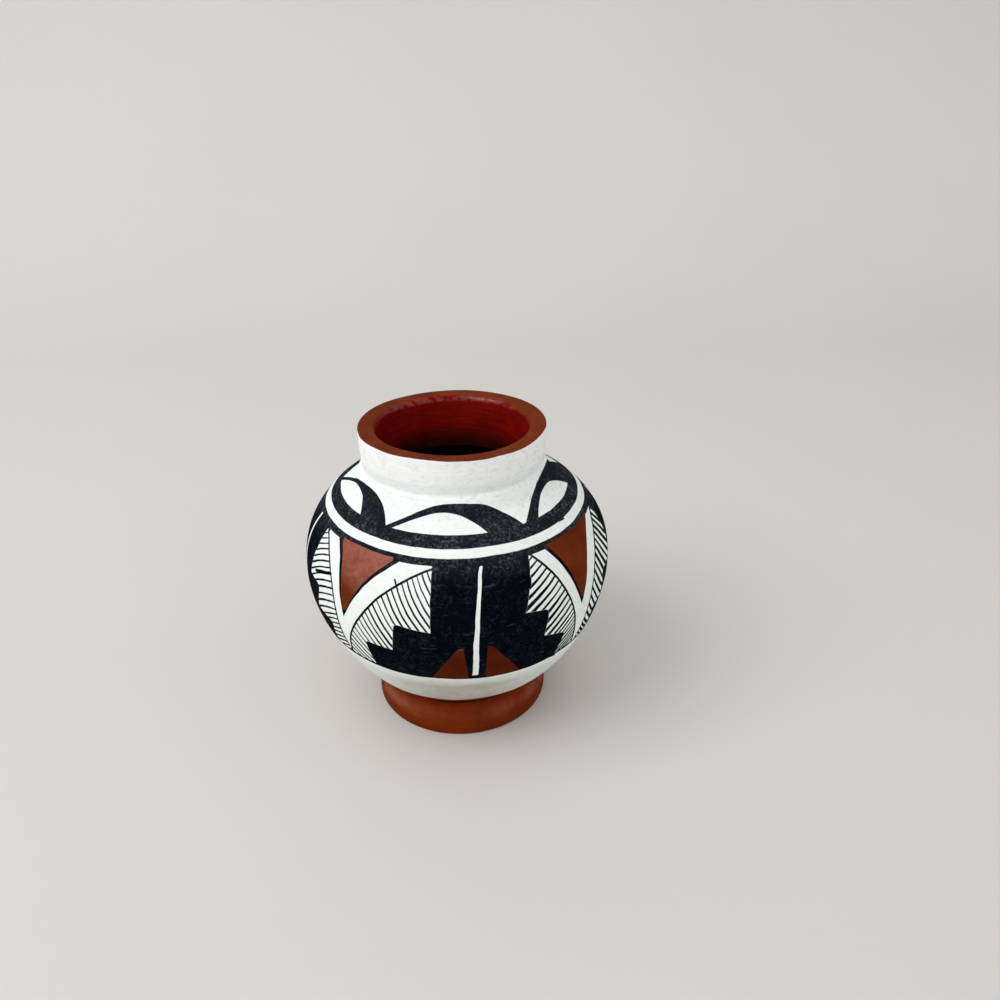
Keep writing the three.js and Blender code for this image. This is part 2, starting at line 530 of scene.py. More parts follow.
class Finish:
    """A material under construction."""

    def __init__(self, name):
        self.material = bpy.data.materials.new(name)
        self.material.use_nodes = True
        self.tree = self.material.node_tree
        self.tree.nodes.clear()

    def node(self, kind, settings, sockets, output=0):
        """Adds a node: its settings first, then its sockets, which take values or links."""
        node = self.tree.nodes.new(kind)
        for name, setting in settings.items():
            if name == "stops":
                self.set_stops(node.color_ramp, setting)
            else:
                setattr(node, name, setting)
        for key, value in sockets.items():
            if isinstance(value, Value):
                self.tree.links.new(value.socket, node.inputs[key])
            else:
                node.inputs[key].default_value = value
        return Value(self, node.outputs[output]) if node.outputs else None

    def set_stops(self, ramp, stops):
        """Lays constant stops on a ramp, each a place and a level, which its Alpha gives out."""
        ramp.interpolation = "CONSTANT"
        ramp.elements.remove(ramp.elements[1])
        for place, level in stops:
            element = ramp.elements.new(place) if place > 0 else ramp.elements[0]
            element.color = (level, level, level, level)

    def math(self, operation, *values, clamp=False):
        settings = {"operation": operation, "use_clamp": clamp}
        return self.node("ShaderNodeMath", settings, dict(enumerate(values)))

    def clip(self, value):
        """The value held between 0 and 1."""
        return self.math("MULTIPLY_ADD", value, 1, 0, clamp=True)

    def least(self, *values):
        return functools.reduce(lambda first, second: self.math("MINIMUM", first, second), values)

    def most(self, *values):
        return functools.reduce(lambda first, second: self.math("MAXIMUM", first, second), values)

    def soft_least(self, first, second, rounding):
        return self.math("SMOOTH_MIN", first, second, rounding)

    def mix(self, factor, first, second):
        """The first colour where the factor is 0, and the second where it is 1."""
        settings = {"data_type": "RGBA", "blend_type": "MIX"}
        sockets = {MIX_FACTOR: factor, MIX_FIRST: first, MIX_SECOND: second}
        return self.node("ShaderNodeMix", settings, sockets, MIX_RESULT)

    def point(self):
        """The place on the jar in millimetres, as a vector."""
        place = self.node("ShaderNodeTexCoord", {}, {}, "Object")
        return self.node("ShaderNodeVectorMath", {"operation": "SCALE"},
                         {0: place, "Scale": 1 / MM})

    def along(self, point, axis):
        """The X, Y or Z of a point."""
        return self.node("ShaderNodeSeparateXYZ", {}, {0: point}, axis)

    def stretched(self, point, across, up):
        """The point with its sideways and upward lengths scaled, for brushed grain."""
        return self.node("ShaderNodeVectorMath", {"operation": "MULTIPLY"},
                         {0: point, 1: (across, across, up)})

    def noise(self, point, size, detail=2, roughness=0.5, shift=0):
        """Cloudy noise from 0 to 1, with features of a size in the point's units."""
        moved = self.node("ShaderNodeVectorMath", {"operation": "ADD"},
                          {0: point, 1: (shift,) * 3})
        sockets = {"Vector": moved, "Scale": 1 / size, "Detail": detail, "Roughness": roughness}
        return self.node("ShaderNodeTexNoise", {"noise_dimensions": "3D"}, sockets)

    def speckle(self, number):
        """One chance value from 0 to 1 for each whole number."""
        settings = {"noise_dimensions": "1D"}
        return self.node("ShaderNodeTexWhiteNoise", settings, {"W": number})

    def band(self, value, low, high):
        """0 below low, 1 above high, and straight between them."""
        width = high - low
        return self.math("MULTIPLY_ADD", value, 1 / width, -low / width, clamp=True)

    def inside(self, distance):
        """1 inside a painted edge and 0 outside it, over the softness of the brush."""
        return self.band(distance, -EDGE / 2, EDGE / 2)

    def surface(self, colour, roughness, relief, depth, shine=0.5, coat=0.0):
        """Ends the material: a clay surface with a bump of the given depth in metres."""
        bump = self.node("ShaderNodeBump", {},
                         {"Height": relief, "Distance": depth, "Strength": 1.0})
        sockets = {"Base Color": colour, "Roughness": roughness, "Normal": bump,
                   "Specular IOR Level": shine, "Coat Weight": coat,
                   "Coat Roughness": COAT_ROUGHNESS}
        shader = self.node("ShaderNodeBsdfPrincipled", {}, sockets)
        self.node("ShaderNodeOutputMaterial", {}, {"Surface": shader})
        return self.material


# The painted design. Angles are degrees round the jar from the front, to the right; heights
# are millimetres up the wall from the line under the design.

DESIGN_TOP = 30

# Millimetres to a degree round the jar at the middle of the design
MEAN_DEGREE = 0.63

# Angle of the left edge of the front panel, from which the turn round the jar is counted
FIRST_VALLEY = -46.5

# Panels from the front one to the right: where each starts, and the white line that parts its
# black column, with its place, its lean at the top, half its width, and its lower and upper end
PANELS = (
    dict(start=0.0, line=51.1, lean=3.9, half=0.53, low=1.6, high=29.9, hill=1.03),
    dict(start=95.6, line=142.3, lean=1.0, half=0.56, low=1.5, high=30.0, hill=0.95),
    dict(start=183.5, line=230.5, lean=1.6, half=0.56, low=1.7, high=30.3, hill=1.04),
    dict(start=272.5, line=328.3, lean=0.0, half=0.6, low=1.6, high=30.9, hill=0.97),
)

# The two wings of each panel, from its valleys in to the black column. Each has an arc that
# leaves its valley and bends over at the top: its start, then two powers of the rise. Then the
# column's edge at the top and its lean, two steps at the column's foot, and the hatching: slant
# in degrees, first stroke, strokes to a millimetre, how they gather, fan and bow, where and how
# much they crowd together, half the width of a stroke, how it grows along it, and how far the
# white gaps run into the column
WINGS = (
    dict(start=0.0, valley=0.0, arc=(0.1, 29.3, 1.57, 8.5, 10.0), column=36.3, lean=0.0,
         step=(16.35, 22.9, -0.085, -0.15), low_step=(8.9, 10.4, -0.02, 0.16),
         hatch=(-57.7, 0.71, 0.615, 0.059, 0.028, -0.041), crowd=(0.13, 2.0),
         brush=(0.26, 0.008, 0.1)),
    dict(start=51.2, valley=95.7, arc=(1.1, 9.5, 1.0, 9.9, 3.25), column=20.4, lean=0.45,
         step=(17.0, 18.9, 0.08, 0.25), low_step=(7.5, 7.8, 0.2, 0.34),
         hatch=(-40.2, 0.85, 0.595, 0.005, -0.096, 0.030), crowd=(0.22, -3.2),
         brush=(0.41, 0.022, 0.7)),
    dict(start=95.75, valley=95.8, arc=(-1.43, 9.52, 0.6, 19.83, 4.5), column=28.4, lean=0.0,
         step=(16.0, 16.4, 0.0, 0.1), low_step=(8.0, 8.4, 0.05, 0.1),
         hatch=(-48.5, 0.24, 0.60, -0.043, -0.042, -0.138), crowd=(0.22, -9.7),
         brush=(0.42, 0.0, 0.2)),
    dict(start=142.3, valley=183.5, arc=(0.5, 18.0, 1.45, 7.5, 9.0), column=25.0, lean=0.3,
         step=(16.5, 17.5, 0.05, 0.2), low_step=(8.6, 8.8, 0.1, 0.2),
         hatch=(-38.0, 0.30, 0.61, 0.010, -0.050, 0.030), crowd=(0.2, -3.0),
         brush=(0.3, 0.01, 0.4)),
    dict(start=183.5, valley=183.5, arc=(0.2, 26.0, 1.5, 8.0, 9.0), column=33.0, lean=0.05,
         step=(15.6, 21.6, -0.04, -0.05), low_step=(8.6, 10.2, 0.0, 0.15),
         hatch=(-56.0, 0.60, 0.62, 0.030, 0.020, -0.020), crowd=(0.13, 0.0),
         brush=(0.27, 0.0, 0.1)),
    dict(start=230.5, valley=272.5, arc=(0.8, 17.0, 1.4, 8.5, 8.0), column=25.5, lean=0.3,
         step=(16.8, 18.0, 0.06, 0.3), low_step=(8.8, 8.2, 0.1, 0.25),
         hatch=(-34.0, 0.40, 0.61, 0.040, 0.010, 0.040), crowd=(0.2, -4.0),
         brush=(0.3, 0.01, 0.3)),
    dict(start=272.5, valley=272.5, arc=(0.0, 26.0, 1.45, 8.0, 8.0), column=33.2, lean=0.05,
         step=(15.4, 21.0, -0.03, 0.05), low_step=(8.5, 10.6, 0.0, 0.12),
         hatch=(-53.0, 0.20, 0.62, 0.010, 0.010, -0.080), crowd=(0.15, -4.0),
         brush=(0.28, 0.0, 0.1)),
    dict(start=328.3, valley=359.7, arc=(-2.0, 4.3, 0.30, 14.3, 4.7), column=17.7, lean=0.25,
         step=(17.1, 15.1, 0.1, 0.5), low_step=(8.6, 4.8, 0.1, 0.4),
         hatch=(-31.4, 0.42, 0.609, 0.081, 0.055, 0.097), crowd=(0.31, -3.9),
         brush=(0.3, 0.01, 0.3)),
)

# Red triangles that hang between the panels, half by half from the first tip to the right: each
# side's two powers of the rise, the width of its black outline at the tip and its growth, and
# how pale painted sheen makes the red
FIRST_TIP = -44.3
TRIANGLES = (
    dict(start=0.0, tip=0.0, side=(15.0, 6.0, 3.7), outline=(0.12, 0.85), pale=1.0),
    dict(start=49.0, tip=92.15, side=(10.0, 2.8, 4.5), outline=(0.55, 0.45), pale=0.0),
    dict(start=92.15, tip=92.15, side=(10.3, 11.9, 4.4), outline=(0.12, 0.02), pale=0.0),
    dict(start=140.1, tip=181.3, side=(11.0, 4.0, 4.2), outline=(0.3, 0.6), pale=0.45),
    dict(start=181.3, tip=181.3, side=(13.0, 7.5, 4.0), outline=(0.2, 0.5), pale=0.45),
    dict(start=228.3, tip=270.3, side=(8.5, 5.0, 4.6), outline=(0.4, 0.5), pale=0.65),
    dict(start=270.3, tip=270.3, side=(12.0, 8.0, 4.2), outline=(0.2, 0.5), pale=0.65),
    dict(start=325.3, tip=360.0, side=(4.4, 6.0, 5.0), outline=(0.2, 0.85), pale=1.0),
)
TIP_HEIGHT = 13.2
TIP_FILL = 2.0
TRIANGLE_RISE = 17.2

# Round waves on the upper band, from one cusp to the next: width, place of the crest, height and
# how full its two sides are. Each has a white lens: its ends and peak as parts of the wave, its
# fullness and its height
FIRST_CUSP = -96
WAVES = (
    dict(start=0, width=61, crest=0.56, height=6.45, full=(2.2, 2.5),
         lens=(0.05, 0.716, 0.393, 1.9), top=4.7),
    dict(start=61, width=67, crest=0.522, height=7.2, full=(2.1, 3.0),
         lens=(0.052, 0.724, 0.418, 1.9), top=5.25),
    dict(start=130, width=72, crest=0.5, height=7.9, full=(2.1, 2.7),
         lens=(0.108, 0.65, 0.42, 2.5), top=4.85),
    dict(start=202, width=79, crest=0.53, height=7.4, full=(2.2, 2.8),
         lens=(0.07, 0.68, 0.4, 2.0), top=5.0),
    dict(start=281, width=79, crest=0.55, height=7.0, full=(2.1, 2.7),
         lens=(0.05, 0.7, 0.41, 1.9), top=5.1),
)

# Slips of the brush: a stroke past an arc, a heavy stroke, and an overrun under each band.
# Each runs between two places, with half its width
SLIPS = (
    (-23.4, 26.5, -21.8, 24.4, 0.22),
    (-52.2, 22.25, -63.5, 19.75, 0.4),
    (50.5, 33.8, 53.8, 33.55, 0.2),
    (36.0, 0.3, 38.3, -0.2, 0.35),
)

# Bands round the jar, each from its lower to its upper edge. They dip on one side and on the far
# side, and the first numbers say where and how much. The lower ring is narrower over the red
# triangles, less so to the right
BAND_LOW_SIDE = 42
BAND_DIP = 0.12
BAND_WAVE = 0.3
FOOT_LINE = (0.1, 1.0)
LOWER_RING = (30.3, 32.0)
RING_OVER_RED = 31.0
RING_GROWTH = 0.4
UPPER_BAND = (34.15, 37.42)

# Half the length of a white lens, in millimetres
LENS_END = 11

# Half the width of a drawn arc, and the softness of a brush edge
ARC_HALF = 0.27
EDGE = 0.1

# Heights in the mouth between which the red slip fades into painted shade, where the bare clay of
# the lip ends, and how much higher that is at the back
THROAT_SHADE = 62.8
THROAT_RED = 69.5
LIP_SLIP_EDGE = 75.9
LIP_SLIP_RISE = 0.75

# Where the white slip stops: above the foot and at the lip's outer edge
SLIP_BOTTOM = -15.87
SLIP_TOP = 54.58

# How an unsteady hand strays: the size of its slow and quick waves sideways, then upwards, where
# in the noise each is taken from, and how far each reaches in millimetres
HAND_WAVES = ((7, 11), (2.2, 37), (9, 53), (2.4, 71))
SWAY, SHAKE, LIFT, TREMOR = 0.6, 0.2, 0.3, 0.2

# Hatching: the place in a wing from which its strokes are counted, in degrees out and in height,
# the scale of their gather, fan and bow, how thin a stroke can be and how much that varies, how
# far it shakes, and how soon and how much it is thinner where strokes crowd together
HATCH_OUT = 15
HATCH_UP = 13
BEND_SCALE = 0.1
THINNEST = 0.82
STROKE_VARIES = 0.36
STROKE_SHAKE = 0.12
CROWD_SETS_IN = 4
CROWD_THINS = 0.6
THINS_SLOWLY = 0.3

# The height at which a step's side stands at its own place, and the rounding of its corner
STEP_MIDDLE = 12
STEP_ROUNDING = 2.0

# Red hills beside each white line: the height from which the outer side falls and its fall in a
# degree, what makes that a distance, the top's height, how far the inner side stands off the
# line, the roundings of the two corners, and the height of the foot. Left hills start higher,
# fall faster, stand nearer to the line and lean, by these numbers
HILL_START = 16.0
HILL_FALL = 0.9
HILL_SCALE = 0.54
HILL_TOP = 11.2
HILL_OFF = 3.7
OUTER_ROUNDING = 2.6
INNER_ROUNDING = 1.6
HILL_FOOT = 0.5
LEFT_HIGHER = 1.3
LEFT_STEEPER = 0.14
LEFT_NEARER = 1.4
LEFT_LEAN = 0.17

# The white line: how much wider it is at the foot than at the middle, and its rounded ends
LINE_TAPER = 0.17
LINE_ROUNDING = 0.5

# How full the crown of a wave is after its crest, and how much more before it, how full a lens
# is beyond its peak, and how far a wave's paint reaches over its edge and down into the band
CROWN_AFTER = 0.87
CROWN_BEFORE = 0.08
LENS_FALL = 2.5
WAVE_OVER = 0.1
WAVE_DOWN = 0.5

# How soon the ring narrows inside a triangle, how far the red stops short of the ring's upper
# edge, and how far it reaches under the black of a hill
RING_SETS_IN = 4
RED_SHORT = 0.15
RED_UNDER = 0.2

# Heights between which painted sheen on the triangles sets in, and how much lower that is on
# the right side of the jar than at the front
SHEEN_HEIGHTS = (7, 12.5)
SHEEN_SIDE = 20

# Keeps what is raised to a power above 0
JUST_OVER = 0.001


class Sectors:
    """Stretches round the jar, and brush values that differ from one to the next."""

    def __init__(self, finish, angle, first, entries):
        self.finish = finish
        self.turn = (angle - first) % FULL_TURN
        self.entries = entries
        passed = [self.turn > entry["start"] for entry in entries[1:]]
        self.place = (sum(passed) + 0.5) / len(entries)

    def pick(self, name):
        """The value by that name in the entry whose stretch this is, or a list of its parts."""
        values = [entry[name] for entry in self.entries]
        if isinstance(values[0], tuple):
            return [self.choose(part) for part in zip(*values)]
        return self.choose(values)

    def choose(self, values):
        """The one of these values that belongs to the stretch, by way of a ramp."""
        low = min(values)
        if max(values) == low:
            return low
        stops = [(index / len(values), value - low) for index, value in enumerate(values)]
        ramp = self.finish.node("ShaderNodeValToRGB", {"stops": stops}, {"Fac": self.place},
                                "Alpha")
        return ramp + low


class Design:
    """The painted design as distances in millimetres, above 0 inside the paint."""

    def __init__(self, finish, point):
        self.finish = finish
        across, depth = finish.along(point, "X"), finish.along(point, "Y")
        turned = finish.math("ARCTAN2", across, -depth)
        self.degree = (across * across + depth * depth) ** 0.5 * math.radians(1)
        climb = finish.node("ShaderNodeAttribute", {"attribute_name": CLIMB_NAME}, {}, "Fac")
        sway, self.shake, lift, tremor = (finish.noise(point, size, detail=1, shift=shift) - 0.5
                                          for size, shift in HAND_WAVES)
        aside = (sway * SWAY + self.shake * SHAKE) / self.degree
        self.angle = turned * math.degrees(1) + aside
        self.height = climb + lift * LIFT + tremor * TREMOR
        from_low_side = turned - math.radians(BAND_LOW_SIDE)
        dip = finish.math("COSINE", from_low_side) * BAND_DIP
        self.band_height = self.height + dip + finish.math("COSINE", from_low_side * 2) * BAND_WAVE
        self.side = finish.math("SINE", turned)
        self.plain_height = climb

    def swell(self, part, along, across):
        """A rounded rise from 0 to 1, over a part from 0 to 1."""
        run = self.finish.clip(part)
        return (1 - (1 - run) ** along) ** across

    def drawn_edge(self, rise, start, near, bend, far, turn):
        """How far out an edge lies at a rise from 0 to 1, and how fast it moves out there."""
        risen = self.finish.clip(rise) + JUST_OVER
        first = near * risen ** bend
        second = far * risen ** turn
        return start + first + second, (first * bend + second * turn) / risen

    def beside(self, gap, slope):
        """Distance to an edge that leans by that slope, from the gap across to it."""
        return gap / (1 + slope * slope) ** 0.5

    def between(self, edges, height):
        low, high = edges
        return self.finish.least(height - low, high - height)

    def slip(self, start_angle, start_height, end_angle, end_height, half):
        """One stray stroke of the brush with round ends."""
        finish = self.finish
        across = (end_angle - start_angle) * MEAN_DEGREE
        up = end_height - start_height
        aside = (self.angle - start_angle) * self.degree
        above = self.height - start_height
        run = finish.clip((aside * across + above * up) / (across ** 2 + up ** 2))
        left, over = aside - run * across, above - run * up
        return half - (left * left + over * over) ** 0.5

    def wings(self):
        """The black column with its steps, and the arcs with the hatching inside them."""
        finish = self.finish
        wing = Sectors(finish, self.angle, FIRST_VALLEY, WINGS)
        out = abs(wing.turn - wing.pick("valley"))
        edge, speed = self.drawn_edge(self.height / DESIGN_TOP, *wing.pick("arc"))
        arc = self.beside((out - edge) * self.degree, speed * self.degree / DESIGN_TOP)
        *brush, ragged = wing.pick("brush")
        hatching, gap_chance = self.hatching(wing, out, *brush)
        below_top = DESIGN_TOP - self.height
        column = (out - wing.pick("column") - below_top * wing.pick("lean")) * self.degree
        blocks = [column - gap_chance * ragged]
        for name in ("step", "low_step"):
            top, side, slope, lean = wing.pick(name)
            over = top + (out - side) * slope - self.height
            beside = (out - side + (self.height - STEP_MIDDLE) * lean) * self.degree
            blocks.append(finish.soft_least(over, beside, STEP_ROUNDING))
        block = finish.most(*blocks)
        strokes = finish.least(hatching, arc, -block)
        return block, finish.most(ARC_HALF - abs(arc), strokes)

    def hatching(self, wing, out, half, growth):
        """Brush strokes that cross a wing, counted across their slant, and a chance value for
        each gap between them."""
        finish = self.finish
        slant, first, pace, gather, fan, bow = wing.pick("hatch")
        crowd, crowd_from = wing.pick("crowd")
        angle = slant * math.radians(1)
        cosine = finish.math("COSINE", angle)
        sine = finish.math("SINE", angle)
        aside = (out - HATCH_OUT) * MEAN_DEGREE
        above = self.height - HATCH_UP
        over = above * cosine - aside * sine
        run = aside * cosine + above * sine
        late = finish.most(crowd_from - over, 0)
        bend = (gather * over * over + fan * over * run + bow * run * run) * BEND_SCALE
        count = first + pace * over + bend - crowd * late
        number = finish.math("ROUND", count)
        chance = finish.speckle(number)
        local_pace = pace + crowd * finish.clip(late * CROWD_SETS_IN)
        half = half + growth * run + self.shake * STROKE_SHAKE
        crowded = 1 - crowd * CROWD_THINS * finish.clip(late * THINS_SLOWLY)
        half = half * ((THINNEST + STROKE_VARIES * chance) * crowded)
        gap_chance = finish.speckle(finish.math("FLOOR", count) + 0.5)
        return half - abs(count - number) / local_pace, gap_chance

    def panels(self):
        """The white line down each column, and the red hills on both sides of its foot."""
        finish = self.finish
        panel = Sectors(finish, self.angle, FIRST_VALLEY, PANELS)
        up = finish.clip(self.height / DESIGN_TOP)
        middle = panel.pick("line") + panel.pick("lean") * up ** 3
        aside = abs(panel.turn - middle)
        half = panel.pick("half") + LINE_TAPER - up * 2 * LINE_TAPER
        ends = finish.least(self.height - panel.pick("low"), panel.pick("high") - self.height)
        line = finish.soft_least(half - aside * self.degree, ends, LINE_ROUNDING)
        left = panel.turn < middle
        raised = self.height / panel.pick("hill")
        fall = aside * (HILL_FALL + left * LEFT_STEEPER)
        slope = (HILL_START + left * LEFT_HIGHER - fall - raised) * HILL_SCALE
        inner = (aside - HILL_OFF + left * (LEFT_NEARER - raised * LEFT_LEAN)) * self.degree
        hill = finish.soft_least(slope, HILL_TOP - raised, OUTER_ROUNDING)
        hill = finish.soft_least(hill, inner, INNER_ROUNDING)
        return line, finish.least(hill, self.height - HILL_FOOT)

    def triangles(self):
        """Distances inside the hanging triangles and their black outlines, and how pale painted
        sheen makes them.
        """
        finish = self.finish
        half = Sectors(finish, self.angle, FIRST_TIP, TRIANGLES)
        out = abs(half.turn - half.pick("tip"))
        rise = (self.height - TIP_HEIGHT) / TRIANGLE_RISE
        near, far, turn = half.pick("side")
        edge, speed = self.drawn_edge(rise, 0, near, 1, far, turn)
        inside = self.beside((edge - out) * self.degree, speed * self.degree / TRIANGLE_RISE)
        inside = finish.least(inside, self.height - TIP_HEIGHT)
        width, growth = half.pick("outline")
        width = width + growth * finish.clip(rise)
        tip = finish.least(inside, TIP_HEIGHT + TIP_FILL - self.height)
        outline = finish.most(finish.least(inside, width - inside), tip)
        return inside, outline, half.pick("pale")

    def waves(self):
        """Round waves above the upper band, less the white lens inside each."""
        finish = self.finish
        wave = Sectors(finish, self.angle, FIRST_CUSP, WAVES)
        part = (wave.turn - wave.pick("start")) / wave.pick("width")
        crest = wave.pick("crest")
        before = part < crest
        run = finish.least(part / crest, (1 - part) / (1 - crest))
        rise, fall = wave.pick("full")
        fullness = fall + before * (rise - fall)
        crown = CROWN_AFTER + before * CROWN_BEFORE
        top = self.swell(run, fullness, crown) * wave.pick("height")
        above = self.band_height - UPPER_BAND[1]
        start, end, peak, fullness = wave.pick("lens")
        lens_run = finish.least((part - start) / (peak - start), (end - part) / (end - peak))
        rising = part < peak
        fullness = LENS_FALL - rising * (LENS_FALL - fullness)
        lens_top = self.swell(lens_run, fullness, 1) * wave.pick("top")
        body = finish.least(top + WAVE_OVER - above, above + WAVE_DOWN)
        lens = finish.least(lens_top - above, above, lens_run * LENS_END)
        return finish.least(body, -lens)

    def paints(self):
        """How far a point lies inside the black paint and inside the red, and how pale painted
        sheen makes the red there."""
        finish = self.finish
        block, lines = self.wings()
        white_line, hill = self.panels()
        triangle, outline, pale = self.triangles()
        above = self.band_height
        under_ring = LOWER_RING[1] - above
        column = finish.least(block, -white_line, -hill)
        in_panel = finish.least(self.height - FOOT_LINE[0], under_ring)
        panel_black = finish.least(finish.most(column, lines, outline), in_panel)
        over_red = finish.clip(triangle * RING_SETS_IN)
        over_ring = (above - LOWER_RING[0]) * (1 - over_red)
        red_edge = RING_OVER_RED - self.side * RING_GROWTH
        over_ring = over_ring + (self.height - red_edge) * over_red
        ring = finish.least(over_ring, under_ring, -white_line)
        foot_line = finish.least(self.between(FOOT_LINE, self.height), -hill)
        slips = [self.slip(*stroke) for stroke in SLIPS]
        black = finish.most(panel_black, ring, foot_line, self.between(UPPER_BAND, above),
                            self.waves(), *slips)
        red = finish.most(finish.least(triangle, under_ring - RED_SHORT),
                          finish.least(hill + RED_UNDER, in_panel - RED_UNDER))
        # How much painted sheen lies on the red: from the triangles' middle up, lower on the right
        # side
        painted_sheen = finish.band(self.height + self.side * SHEEN_SIDE, *SHEEN_HEIGHTS)
        return black, red, pale * painted_sheen


# The jar's finishes
BURNISHED_CLAY = "burnished terracotta"
INNER_RED = "inner red slip"
PAINTED_SLIP = "painted white slip"

# Colours that the paints and clay take in painted sheen and painted shade, in dusty grey that is
# partly painted sheen, where scratched, and in bright streaks of red slip
FOOT_SHEEN = from_screen(160, 94, 66)
FRESH_RED = from_screen(158, 30, 18)
PALE_UNDER_SHADE = from_screen(192, 190, 178)
DARK_UNDER_SHADE = from_screen(173, 170, 158)
SHEEN_RED = from_screen(164, 96, 80)
SHEEN_BLACK = from_screen(24, 30, 36)
DUST_AND_SHEEN_GREY = from_screen(112, 120, 126)
SCRATCH = from_screen(84, 94, 106)

# Heights above the table, in millimetres, between which a look sets in: the painted shade along
# the foot's lowest edge, its painted sheen and burnished coat on the shoulder from below and from
# above, and the gloss of the slip in the mouth
FOOT_EDGE_SHADE = (3, 0.5)
FOOT_SHEEN_STARTS = (3.2, 5.2)
FOOT_SHEEN_ENDS = (8.2, 6.2)
MOUTH_GLOSS = (72, 75)

# Heights up the wall from the line under the design, in millimetres, between which a look sets
# in: painted shade below the design, brown hills giving way to red triangles, painted sheen and
# dusting on the shoulder's black and less of both above the band, specks, the neck painted lighter
# from its foot upward, and the painted shade in the crease from below and from above
SHADE_BELOW = (1, -4)
RED_ABOVE_HILLS = (10, 13)
SHEEN_AND_DUST_ABOVE = (26, 31.5)
LESS_DUST_AND_SHEEN = (37.5, 40)
SPECKS_ABOVE = (36, 40)
NECK_PAINTED_LIGHT = (43.2, 44.6)
CREASE_STARTS = (45.6, 46.6)
CREASE_ENDS = (49, 47)


def brushed(finish, point, shift):
    """Streaks of a wide brush drawn round the jar, from 0 to 1."""
    return finish.noise(finish.stretched(point, 0.12, 1.6), 1.0, detail=3, shift=shift)


def clay_colour(finish, point, colour, shift):
    """Burnished clay: slow clouds, brushed streaks and fine dark specks."""
    clouds = finish.noise(point, 6, detail=3, shift=shift)
    streaks = brushed(finish, point, shift + 5)
    specks = finish.noise(point, 0.45, detail=2, shift=shift + 9)
    deep = finish.mix(finish.band(clouds, 0.3, 0.7), shade(colour, 0.78), shade(colour, 1.18))
    drawn = finish.mix(finish.band(streaks, 0.5, 0.75) * 0.35, deep, shade(colour, 1.35))
    return finish.mix(finish.band(specks, 0.62, 0.74) * 0.3, drawn, shade(colour, 0.45))


def shade(colour, factor):
    """A colour made darker or lighter."""
    return (*(min(channel * factor, 1.0) for channel in tuple(colour)[:3]), 1.0)


def terracotta_finish(colours):
    """Bare burnished terracotta, for the foot, with painted sheen on the shoulder of its bulge
    and painted shade along its lowest edge.
    """
    finish = Finish(BURNISHED_CLAY)
    point = finish.point()
    colour = clay_colour(finish, point, colours.terracotta, 3)
    grain = finish.noise(point, 0.5, detail=4, roughness=0.6, shift=5)
    sheen_patches = finish.noise(point, 5, detail=3, shift=19)
    relief = grain * 0.5 + brushed(finish, point, 8)
    height = finish.along(point, "Z")
    # Painted sheen: a lighter band round the shoulder of the foot's bulge, strongest at its left
    # and right, in patches; the same patches carry a little burnished coat
    shoulder = finish.least(finish.band(height, *FOOT_SHEEN_STARTS),
                            finish.band(height, *FOOT_SHEEN_ENDS))
    sideways = abs(finish.along(point, "X"))
    shoulder = shoulder * (finish.band(sideways, 4, 15) * 0.8 + 0.2)
    burnished = shoulder * finish.band(sheen_patches + grain * 0.3, 0.42, 0.8)
    # Painted shade: the foot darkened towards its lowest edge at the table
    edge = finish.band(height, *FOOT_EDGE_SHADE)
    colour = finish.mix(edge * 0.35, colour, shade(colours.terracotta, 0.5))
    # Painted sheen lightens the shoulder of the bulge towards orange
    colour = finish.mix(burnished * 0.55, colour, FOOT_SHEEN)
    return finish.surface(colour, 0.5 + grain * 0.2, relief, CLAY_GRAIN, shine=0.02,
                          coat=burnished * 0.2)


def inner_red_finish(colours):
    """Glossy red slip brushed round the inside of the mouth: bare clay over the lip, and painted
    shade in the depth, where the red fades into terracotta darkened nearly to black."""
    finish = Finish(INNER_RED)
    point = finish.point()
    height = finish.along(point, "Z")
    back = finish.along(point, "Y")
    streaks = brushed(finish, point, 31)
    red = clay_colour(finish, point, colours.inner_red, 61)
    red = finish.mix(finish.band(streaks, 0.52, 0.7) * 0.4, red, FRESH_RED)
    # Painted shade in the depth of the jar: terracotta darkened nearly to black
    deep = clay_colour(finish, point, shade(colours.terracotta, 0.12), 23)
    bare = clay_colour(finish, point, colours.lip_clay, 3)
    wander = finish.noise(point, 5, shift=14) - 0.5
    # Where the red slip gives way to the painted shade of the depth
    slip_above_shade = finish.band(height + wander * 4, THROAT_SHADE, THROAT_RED) ** 1.5
    slip_edge = finish.band(back, 2, 14) * LIP_SLIP_RISE + LIP_SLIP_EDGE
    over_lip = finish.band(height - slip_edge + wander * 0.6, -0.2, 0.4)
    colour = finish.mix(over_lip, finish.mix(slip_above_shade, deep, red), bare)
    lumps = finish.noise(point, 1.4, detail=3, shift=7)
    relief = streaks * 1.1 + lumps
    roughness = 0.62 - slip_above_shade * 0.3 + lumps * 0.16 + over_lip * 0.2
    rolled = finish.band(height, *MOUTH_GLOSS) * 0.5 + 0.4
    coat = slip_above_shade * finish.band(lumps, 0.42, 0.56) * rolled * (1 - over_lip)
    return finish.surface(colour, roughness, relief, MOUTH_GRAIN, shine=0.03, coat=coat)


